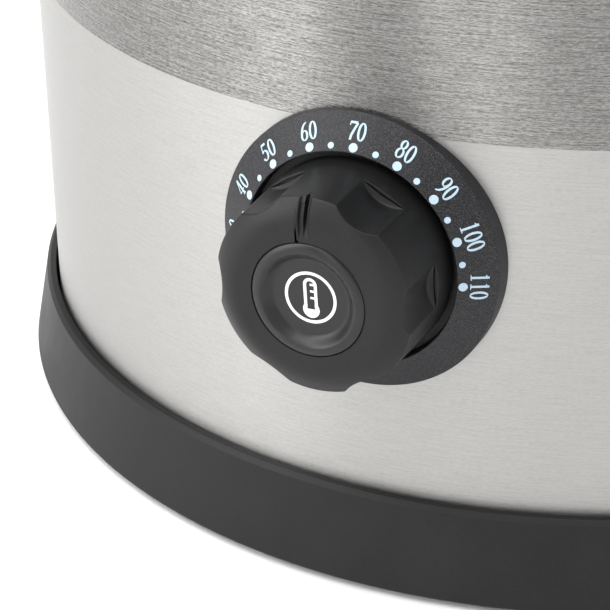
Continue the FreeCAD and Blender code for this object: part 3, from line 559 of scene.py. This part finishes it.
def dial_marks():
    """A dot at every fifth degree, and a larger dot with its number at every tenth."""
    for value in range(30, 111, 5):
        large = value % 10 == 0
        dots = InkSheet(cone_place(mark_angle(value), DOT_CIRCLE))
        dots.disc(0.0, 0.0, LARGE_DOT if large else SMALL_DOT)
        dots.piece(f"dial_dot_{value}", "body", INK_BLUE, "dial_plastic")
        if not large:
            continue
        text = str(value)
        sheet = InkSheet(cone_place(mark_angle(value), NUMBER_CIRCLE))
        left = -GLYPH_STEP * len(text) / 2 + (GLYPH_STEP - GLYPH_WIDE) / 2
        for i, digit in enumerate(text):
            for path, rule in GLYPHS[digit]:
                flat = [(left + i * GLYPH_STEP + x * GLYPH_WIDE, (y - 0.5) * GLYPH_TALL) for x, y in path]
                sheet.stroke(flat, [rule] * len(path) if rule else pen_widths(path))
        sheet.piece(f"dial_number_{value}", "body", INK_BLUE, "dial_plastic")


# ---------------------------------------------------------------- knob

# Heights are millimetres out from the dial's plane; radii are from the knob's axis.
KNOB_RIM, KNOB_BACK = 27.9, 2.4
KNOB_RADIUS, KNOB_SKIRT = 27.7, 28.2
KNOB_FACE, DOME_START, DOME_RADIUS = 30.9, 20.0, 9.8
KNOB_EDGE = 0.3                         # rounding between the face and the side
CAP_SEAT, CAP_RADIUS = 26.0, 16.0
CAP_CREST, CAP_FLOOR = 31.5, 29.0
CAP_FIT = 0.04                          # gap round the cap
FACE_START = CAP_RADIUS + CAP_FIT + 0.2
SCALLOPS, SCALLOP_REACH, SCALLOP_HALF = 6, 2.15, math.radians(13.2)
SCALLOP_FIRST = math.radians(28.0)
SCALLOP_TAPER = 0.65                    # how much deeper a scallop is at its ledge than at the rim
LEDGE = 12.2
GROOVE_ZONE = 0.2                       # angle either side of the pointer where columns follow the groove


def soft_min(a, b, blend):
    """The smaller of two values, rounded over where they cross."""
    gap = max(blend - abs(a - b), 0.0) / blend
    return min(a, b) - gap * gap * blend / 4


def side_radius(height):
    part = (height - KNOB_BACK) / (KNOB_RIM - KNOB_BACK)
    return KNOB_SKIRT + (KNOB_RADIUS - KNOB_SKIRT) * part


def scalloped(angle, height):
    """Side radius at an angle clockwise from straight up, with the six finger scallops cut in."""
    full = side_radius(height)
    half = full * math.sin(SCALLOP_HALF)
    deep = SCALLOP_REACH + SCALLOP_TAPER * (KNOB_RIM - height) / (KNOB_RIM - LEDGE)
    bow = deep - full * (1 - math.cos(SCALLOP_HALF))
    cutter = (half * half + bow * bow) / (2 * bow)
    circle = full - deep + cutter
    step = TAU / SCALLOPS
    off = (angle - SCALLOP_FIRST + step / 2) % step - step / 2
    across = circle * math.sin(off)
    if abs(across) >= cutter:
        return full
    return soft_min(full, circle * math.cos(off) - math.sqrt(cutter ** 2 - across ** 2), 0.3)


def stepped(value, stations):
    """Straight-line interpolation between (place, share) stations, 0 outside them."""
    for (x0, s0), (x1, s1) in zip(stations, stations[1:]):
        if x0 <= value <= x1:
            return s0 + (s1 - s0) * (value - x0) / (x1 - x0)
    return 0.0


# Pointer groove across its width: the floor, the deeper slot beside it and the raised bead.
FLOOR_SHARE = [(-1.5, 0.0), (-1.42, 0.1), (-1.3, 0.9), (-1.2, 1.0), (0.9, 1.0), (1.0, 0.9), (1.1, 0.2),
               (1.16, 0.0)]
SLOT_SHARE = [(-0.3, 0.0), (-0.22, 0.1), (-0.1, 0.9), (0.0, 1.0), (0.82, 1.0), (0.9, 0.95), (1.0, 0.5),
              (1.1, 0.05), (1.16, 0.0)]
BEAD_SHARE = [(-1.95, 0.0), (-1.86, 0.6), (-1.72, 1.0), (-1.6, 0.8), (-1.5, 0.1), (-1.46, 0.0),
              (1.1, 0.0), (1.2, 0.75), (1.35, 1.0), (1.5, 0.75), (1.6, 0.1), (1.68, 0.0)]
STATIONS = sorted({x for share in (FLOOR_SHARE, SLOT_SHARE, BEAD_SHARE) for x, _ in share}
                  | {-2.5, -2.1, -0.7, 1.8, 2.1, 2.5})


def smooth(value, start, stop):
    """0 before start, 1 after stop, an S-curve between."""
    t = min(1.0, max(0.0, (value - start) / (stop - start)))
    return t * t * (3 - 2 * t)


GROOVE_DEPTH, GROOVE_END_RISE = 0.85, 0.3
SLOT_DEPTH, BEAD_HEIGHT = 1.8, 0.24


def groove(across, radius):
    """How far the pointer groove lies below the knob's face."""
    floor_depth = GROOVE_DEPTH * smooth(radius, 16.6, 20.5) - GROOVE_END_RISE * smooth(radius, 25.9, 26.2)
    slot_depth = SLOT_DEPTH * smooth(radius, 16.8, 24.0)
    bead = BEAD_HEIGHT * smooth(radius, 17.0, 20.5)
    return (floor_depth * stepped(across, FLOOR_SHARE) + slot_depth * stepped(across, SLOT_SHARE)
            - bead * stepped(across, BEAD_SHARE))


def face_height(radius):
    """The knob's face without its groove: flat in the middle, domed toward the side."""
    return KNOB_FACE - max(0.0, radius - DOME_START) ** 2 / (2 * DOME_RADIUS)


def knob_columns():
    """Angles from the pointer, close together across the groove."""
    near = [math.asin(x / KNOB_RADIUS) for x in STATIONS]
    step = math.radians(0.5)
    angles = list(near)
    while angles[-1] + step < TAU + near[0]:
        angles.append(angles[-1] + step)
    return angles


FACE_STATIONS = (16.45, 16.8, 17.2, 17.8, 18.6, 19.5, 20.4, 21.4, 22.4, 23.4, 24.3, 25.0, 25.5, 25.9, 26.05,
                 26.2, 26.6, KNOB_RADIUS - KNOB_EDGE)
# Ledge under a scallop: (share of the way out, height, 1 where it takes the full step down).
SHELF = [(0.0, 13.4, 0), (0.03, 13.0, 0), (0.12, 12.6, 0), (0.28, 12.34, 0), (0.46, 12.24, 0), (0.5, 12.2, 0),
         (0.52, 12.14, 0), (0.53, 12.06, 1), (0.55, 12.02, 1), (0.80, 11.98, 1), (0.82, 11.94, 1),
         (0.83, 11.9, 0), (0.85, 11.86, 0), (0.93, 11.84, 0), (0.985, 11.78, 0), (1.0, 11.6, 0)]
SHAFT_STOP = 21.9
# From the foot of the side, under the skirt, up its inside, over to the hub and into the shaft bore.
KNOB_INSIDE = [(28.12, 2.7), (27.95, 2.48), (27.7, 2.4), (27.0, 2.4), (23.6, 2.4), (22.8, 2.4), (22.65, 2.46),
               (22.6, 2.6), (22.4, 8.0), (22.0, 16.0), (21.7, 22.6), (21.6, 23.3), (21.0, 23.5), (14.0, 23.5),
               (7.4, 23.5), (6.7, 23.3), (6.5, 22.8), (6.5, 14.0), (6.5, 4.0), (6.4, 3.55), (6.1, 3.4),
               (4.0, 3.4), (3.25, 3.4), (3.06, 3.6), (3.06, 12.0), (3.06, SHAFT_STOP)]


def knob_profile(column):
    """(radius, height, angle) from the middle of the cap's seat, over the face, to the shaft bore."""
    near = -GROOVE_ZONE < column < GROOVE_ZONE
    across = KNOB_RADIUS * math.sin(column) if near else 99.0
    angle = POINTER + column
    rim = scalloped(angle, KNOB_RIM)
    inner = CAP_RADIUS + CAP_FIT

    def face(radius):
        return face_height(radius) - (groove(across, radius) if near else 0.0)

    points = [(4.0, CAP_SEAT), (12.0, CAP_SEAT), (inner - 0.3, CAP_SEAT), (inner, CAP_SEAT + 0.12),
              (inner, face(inner) - 0.4), (inner + 0.04, face(inner) - 0.15), (FACE_START, face(inner))]
    last = rim - KNOB_EDGE
    shrink = (last - FACE_START) / (KNOB_RADIUS - KNOB_EDGE - FACE_START)
    stations = [FACE_START + (r - FACE_START) * shrink for r in FACE_STATIONS]
    points += [(r, face(r)) for r in stations]
    start, corner = (last, face(last)), (rim, face(rim))
    stop = (rim, corner[1] - KNOB_EDGE)
    for t in (0.15, 0.35, 0.5, 0.65, 0.85, 1.0):
        points.append(tuple(a * (1 - t) ** 2 + 2 * b * t * (1 - t) + c * t * t
                            for a, b, c in zip(start, corner, stop)))
    points += [(scalloped(angle, h), h) for h in (stop[1] - 0.15, 24.0, 21.0, 18.0, 15.5, 14.2, 13.7)]
    inside, outer = scalloped(angle, 13.0), side_radius(LEDGE)
    depth = outer - inside
    step = 0.9 * min(1.0, depth / 1.6)
    points += [(inside + share * depth, h - sunk * step) for share, h, sunk in SHELF]
    points += [(side_radius(h), h) for h in (11.3, 9.0, 6.0, 3.4, 2.95)]
    points += KNOB_INSIDE
    spread = []
    for radius, height in points:
        turned = column
        if near and radius > 6.0:
            weight = min(1.0, (GROOVE_ZONE - abs(column)) / (GROOVE_ZONE / 2))
            turned = column + (math.asin(across / radius) - column) * weight
        spread.append((radius, height, POINTER + turned))
    return spread


def knob():
    """The knob as a fan of columns round its axis, closed by a point at each end."""
    columns = [knob_profile(c) for c in knob_columns()]
    rows = len(columns[0])
    verts = [(0.0, 0.0, DIAL_PLANE + CAP_SEAT)]
    for column in columns:
        verts += [(r * math.sin(a), r * math.cos(a), DIAL_PLANE + h) for r, h, a in column]
    verts.append((0.0, 0.0, DIAL_PLANE + SHAFT_STOP))
    faces = []
    for j in range(len(columns)):
        a, b = 1 + j * rows, 1 + (j + 1) % len(columns) * rows
        faces.append([0, b, a])
        faces += [[a + i, b + i, b + i + 1, a + i + 1] for i in range(rows - 1)]
        faces.append([a + rows - 1, b + rows - 1, len(verts) - 1])
    piece = to_dial(new_piece("knob_skin", verts, faces, sharp=math.radians(40)))
    finish_piece(piece, "knob", "knob_plastic", KNOB_BLACK, "knob")


def knob_cap():
    """A shallow dish with a rounded crest, from the middle of its back round to the middle of its front."""
    profile = [(0.0, CAP_SEAT), (8.0, CAP_SEAT), (CAP_RADIUS - 0.2, CAP_SEAT), (CAP_RADIUS, CAP_SEAT + 0.2),
               (CAP_RADIUS, CAP_CREST - 1.6)]
    shoulder, drop = 2.5, 1.1
    crest = CAP_RADIUS - shoulder
    profile += [(crest + shoulder * math.cos(a), CAP_CREST - drop + drop * math.sin(a))
                for a in (math.pi / 2 * i / 14 for i in range(15))]
    foot = 10.4
    dish, ahead = CAP_CREST - CAP_FLOOR, -0.12
    for i in range(1, 17):
        t = i / 16
        sag = dish * smooth(t, ahead, 1.0)
        lift = dish * smooth(0.0, ahead, 1.0) * (1 - t)
        profile.append((crest - (crest - foot) * t, CAP_CREST - sag + lift))
    profile += [(9.8, CAP_FLOOR), (6.0, CAP_FLOOR), (0.0, CAP_FLOOR)]
    piece = to_dial(lathe("knob_cap_skin", [(r, h + DIAL_PLANE) for r, h in profile], 240))
    finish_piece(piece, "knob", "knob_cap_plastic", CAP_BLACK, "knob_cap")


def cap_icon():
    """A thermometer in a circle, printed on the cap."""
    def place(x, y, lift):
        c, s = math.cos(POINTER), math.sin(POINTER)
        return (x * c + y * s, y * c - x * s, DIAL_PLANE + CAP_FLOOR + 0.01 + lift)
    sheet = InkSheet(place)
    ring_radius, line = 6.9, 0.85
    ring = arc(0.0, 0.0, ring_radius, ring_radius, 0, 360, 72)
    sheet.stroke(ring, [line] * len(ring))
    top, foot, half = 5.1, -2.2, 1.5
    tube = [(-half, foot), *arc(0.0, top - half, half, half, 180, 0, 14), (half, foot)]
    sheet.stroke(tube, [line] * len(tube))
    sheet.patch([*arc(0.0, -3.45, 2.35, 2.35, -215, 35, 40),
                 (1.0, foot + 0.1), (1.15, -3.3), (-1.15, -3.3), (-1.0, foot + 0.1)])
    for level in (3.65, 1.8, -0.1):
        sheet.stroke([(half - 0.2, level), (-0.05, level)], [0.6, 0.6])
    sheet.piece("cap_icon", "knob", INK_WHITE, "knob_cap_plastic")


# ---------------------------------------------------------------- handles, lid, cord entry

def sweep(name, path, section, segments=40):
    """A grip: an oval section (half width, half height) carried along a level path."""
    verts, faces = [], []
    for i, (x, y, z) in enumerate(path):
        ahead, behind = path[min(i + 1, len(path) - 1)], path[max(i - 1, 0)]
        along = Vector((ahead[0] - behind[0], ahead[1] - behind[1], 0)).normalized()
        side = Vector((along.y, -along.x, 0))
        wide, tall = section(i / (len(path) - 1))
        for k in range(segments):
            a = TAU * k / segments
            c, s = math.cos(a), math.sin(a)
            squared = (abs(c) ** 3 + abs(s) ** 3) ** (-1 / 3)
            p = Vector((x, y, z)) + side * (wide * c * squared) + Vector((0, 0, tall * s * squared))
            verts.append(tuple(p))
    for i in range(len(path) - 1):
        for k in range(segments):
            k1 = (k + 1) % segments
            a, b = i * segments, (i + 1) * segments
            faces.append([a + k, a + k1, b + k1, b + k])
    faces.append(list(range(segments))[::-1])
    faces.append(list(range(len(verts) - segments, len(verts))))
    return new_piece(name, verts, faces)


def handles():
    """Two grips, each a level loop whose feet flare and lie on the round wall."""
    box_low, box_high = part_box("handle_right")
    reach = box_high.x / MM - 6.6
    half = box_high.y / MM - 8.6
    level = (box_low.z + box_high.z) / MM / 2
    tall = (box_high.z - box_low.z) / MM / 2
    wall = math.sqrt((SHELL_RADIUS + 0.1) ** 2 - half ** 2)
    bend = 17.0
    plan = rounded([(wall - 0.5, -half), (wall + 9.0, -half), (reach, -half, bend), (reach, -8.0),
                    (reach, 8.0), (reach, half, bend), (wall + 9.0, half), (wall - 0.5, half)], 12)
    path = []
    for (x0, y0), (x1, y1) in zip(plan, plan[1:]):
        steps = max(1, int(math.hypot(x1 - x0, y1 - y0) / 2.5))
        path += [(x0 + (x1 - x0) * t / steps, y0 + (y1 - y0) * t / steps, level) for t in range(steps)]
    path.append((*plan[-1], level))

    def section(share):
        end = min(share, 1 - share)
        flare = max(0.0, 1 - end / 0.045) ** 2
        belly = math.sin(math.pi * share) ** 2
        return 5.4 + 2.6 * flare + 0.9 * belly, min(tall, 8.6 + 3.2 * flare + 2.2 * belly)
    for name, turn in (("handle_right", 0.0), ("handle_left", math.pi)):
        grip = sweep(name + "_grip", path, section)
        wall_reach = SHELL_RADIUS + 0.15
        for vertex in grip.data.vertices:
            x, y = vertex.co.x / MM, vertex.co.y / MM
            if math.hypot(x, y) < wall_reach:
                vertex.co.x = math.sqrt(wall_reach ** 2 - y ** 2) * MM
        grip.data.transform(Matrix.Rotation(turn, 4, "Z"))
        finish_piece(grip, "body", "handle_plastic", HANDLE_BLACK, name)


DOME_EDGE = 165.0
DOME_STATIONS = (4.0, 12.0, 24.0, 40.0, 60.0, 80.0, 100.0, 120.0, 140.0, 155.0, DOME_EDGE)


def lid():
    """Domed lid with a flat flange on the rim and a skirt inside it, and its turned knob."""
    flange = RIM + 0.3
    inner = SHELL_RADIUS - SHEET - 1.6
    rise = 26.0
    radius = high("lid").x

    def dome(r):
        return flange + 3.4 + (rise - 3.4) * (1 - (r / (inner - 2.0)) ** 2)
    crown = [(r, dome(r) + SHEET) for r in DOME_STATIONS]
    under = [(r, dome(r)) for r in reversed(DOME_STATIONS)]
    skirt = flange - 11.0
    brim = rounded([crown[-1], (inner - 1.6, flange + 3.6, 3.0), (inner + 0.4, flange + 1.7, 1.2),
                    (radius, flange + 1.7, 0.7), (radius, flange, 0.7), (inner, flange, 0.8),
                    (inner, skirt, 0.35), (inner - 0.8, skirt, 0.35),
                    (inner - 0.8, flange + 0.6, 1.2), (inner - 3.0, flange + 2.6, 2.0), under[0]])
    piece = lathe("lid_skin", crown + brim[1:-1] + under, 300, closed=True)
    finish_piece(piece, "lid", "lid_steel", LID_STEEL, "lid")

    base = low("lid_knob").z
    top = high("lid_knob").z
    wide = high("lid_knob").x
    profile = rounded([(0.0, base), (14.0, base, 0.8), (13.2, base + 5.0, 6.0), (11.6, base + 12.0, 8.0),
                       (wide - 1.0, base + 17.0, 4.0), (wide, base + 22.0, 3.0),
                       (wide - 4.5, base + 28.5, 5.0), (10.0, top, 20.0), (0.0, top)], 8)
    profile = [(r, z) for r, z in profile if r >= 0.0]
    piece = lathe("lid_knob_turned", profile, 160)
    finish_piece(piece, "lid", "handle_plastic", HANDLE_BLACK, "lid_knob")


def gland_nut():
    """The cord gland's dome nut, with grip flutes round it."""
    centre = (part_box("gland_dome_nut")[0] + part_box("gland_dome_nut")[1]) / 2 / MM
    front, back = high("gland_dome_nut").y, low("gland_dome_nut").y
    outer, thread, lead, depth = 11.0, 8.1, 3.8, back + 8.1
    profile = rounded([(thread, back), (outer, back, 0.5), (outer, back + 7.6, 1.2), (9.4, back + 11.6, 3.0),
                       (6.2, front, 1.0), (lead, front, 0.5), (lead, depth), (thread, depth), (thread, back)])

    flutes, flute_depth = 12, 0.06

    def flute(x, y, z):
        radius = math.hypot(x, y)
        if radius < 9.5 or z > back + 8.0:
            return (x, y, z)
        dent = 1 - flute_depth * max(0.0, math.cos(flutes * math.atan2(y, x))) ** 2
        return (x * dent, y * dent, z)
    piece = lathe("gland_dome_nut_fluted", profile[:-1], 192, closed=True, bend=flute)
    piece.data.transform(Matrix.Translation((0, 0, centre.z * MM)) @ Matrix.Rotation(-math.pi / 2, 4, "X"))
    finish_piece(piece, "body", "gland_plastic", GLAND_BLACK, "gland_dome_nut")


# ---------------------------------------------------------------- studio

CAMERA_PLACE = (237.7, -686.2, 385.9)
CAMERA_AZIMUTH, CAMERA_ELEVATION, CAMERA_ROLL = 26.533, 27.993, -1.154
LENS = 140.02


def camera():
    """A camera at CAMERA_PLACE that looks along the azimuth and elevation, turned by the roll."""
    data = bpy.data.cameras.new("camera")
    data.lens = LENS
    data.sensor_width = 36.0
    data.clip_start = 0.01
    eye = bpy.data.objects.new("camera", data)
    bpy.context.scene.collection.objects.link(eye)
    az, el, roll = (math.radians(v) for v in (CAMERA_AZIMUTH, CAMERA_ELEVATION, CAMERA_ROLL))
    back = Vector((math.sin(az) * math.cos(el), -math.cos(az) * math.cos(el), math.sin(el)))
    right = Vector((0, 0, 1)).cross(back).normalized()
    up = back.cross(right)
    turned_right = right * math.cos(roll) + up * math.sin(roll)
    turned_up = up * math.cos(roll) - right * math.sin(roll)
    matrix = Matrix((turned_right, turned_up, back)).transposed().to_4x4()
    matrix.translation = Vector(CAMERA_PLACE) * MM
    eye.matrix_world = matrix
    bpy.context.scene.camera = eye


def paper_floor():
    """Plain white paper with a faint fibre."""
    size, cells = 60.0 / MM, 24
    row = cells + 1
    verts = [((i / cells - 0.5) * size, (j / cells - 0.5) * size, 0.0)
             for j in range(row) for i in range(row)]
    faces = [[k, k + 1, k + row + 1, k + row]
             for k in (j * row + i for j in range(cells) for i in range(cells))]
    piece = new_piece("studio_floor", verts, faces)
    paper = Finish("studio_paper", Roughness=0.9)
    fibre = paper.noise("Object", (3.0, 3.0, 3.0), 2.0)
    paper.tint(fibre, (0.86, 0.86, 0.86), (0.90, 0.90, 0.90))
    piece.data.materials.append(paper.material)


# Studio surround: (azimuth from the front towards +X in degrees, brightness) stops.
SURROUND = [(-180, 1.15), (-140, 1.15), (-125, 0.5), (-90, 0.3), (-80, 0.6), (-68, 1.6), (-57, 2.6),
            (-52, 3.4), (-46, 6.5), (-35, 6.5), (-31.5, 1.8), (-28.5, 0.0), (-14.5, 0.0), (-12.5, 0.6),
            (-11, 4.2), (-9.5, 2.8), (3, 2.8), (8, 2.0), (11, 0.4), (22, 0.0), (30, 0.9), (60, 0.9),
            (90, 1.0), (180, 1.15)]


def surround():
    """Soft light from all round whose strength follows SURROUND."""
    scene = bpy.context.scene
    scene.world = bpy.data.worlds.new("studio")
    scene.world.use_nodes = True
    tree = scene.world.node_tree
    where = tree.nodes.new("ShaderNodeTexCoord")
    split = tree.nodes.new("ShaderNodeSeparateXYZ")
    tree.links.new(where.outputs["Generated"], split.inputs[0])
    flip = tree.nodes.new("ShaderNodeMath")
    flip.operation = "MULTIPLY"
    flip.inputs[1].default_value = -1.0
    tree.links.new(split.outputs["Y"], flip.inputs[0])
    angle = tree.nodes.new("ShaderNodeMath")
    angle.operation = "ARCTAN2"
    tree.links.new(split.outputs["X"], angle.inputs[0])
    tree.links.new(flip.outputs[0], angle.inputs[1])
    share = tree.nodes.new("ShaderNodeMapRange")
    share.inputs[1].default_value = -math.pi
    share.inputs[2].default_value = math.pi
    tree.links.new(angle.outputs[0], share.inputs[0])
    ramp = tree.nodes.new("ShaderNodeValToRGB")
    elements = ramp.color_ramp.elements
    while len(elements) > 1:
        elements.remove(elements[-1])
    for i, (azimuth, level) in enumerate(SURROUND):
        place = (azimuth + 180) / 360
        stop = elements[0] if i == 0 else elements.new(place)
        stop.position = place
        stop.color = (level, level, level, 1.0)
    tree.links.new(share.outputs["Result"], ramp.inputs["Fac"])
    background = tree.nodes["Background"]
    tree.links.new(ramp.outputs["Color"], background.inputs["Color"])
    background.inputs["Strength"].default_value = 1.0


def area_light(name, place, target, size, power):
    data = bpy.data.lights.new(name, "AREA")
    data.shape = "RECTANGLE"
    data.size, data.size_y = size
    data.energy = power
    lamp = bpy.data.objects.new(name, data)
    bpy.context.scene.collection.objects.link(lamp)
    lamp.location = place
    lamp.rotation_euler = (Vector(target) - Vector(place)).to_track_quat("-Z", "Y").to_euler()


def studio():
    bpy.context.scene.view_settings.view_transform = "Standard"
    paper_floor()
    surround()
    area_light("overhead_soft", (-0.2, -0.3, 1.9), (0.0, -0.1, 0.0), (2.2, 1.8), 30.0)
    area_light("left_soft", (-1.5, -0.9, 0.9), (0.0, -0.1, 0.12), (1.0, 1.2), 6.0)


camera()
studio()
dress_cad_nodes()
pot()
lower_shell()
base_ring()
dial_ring()
dial_marks()
knob()
knob_cap()
cap_icon()
handles()
lid()
gland_nut()
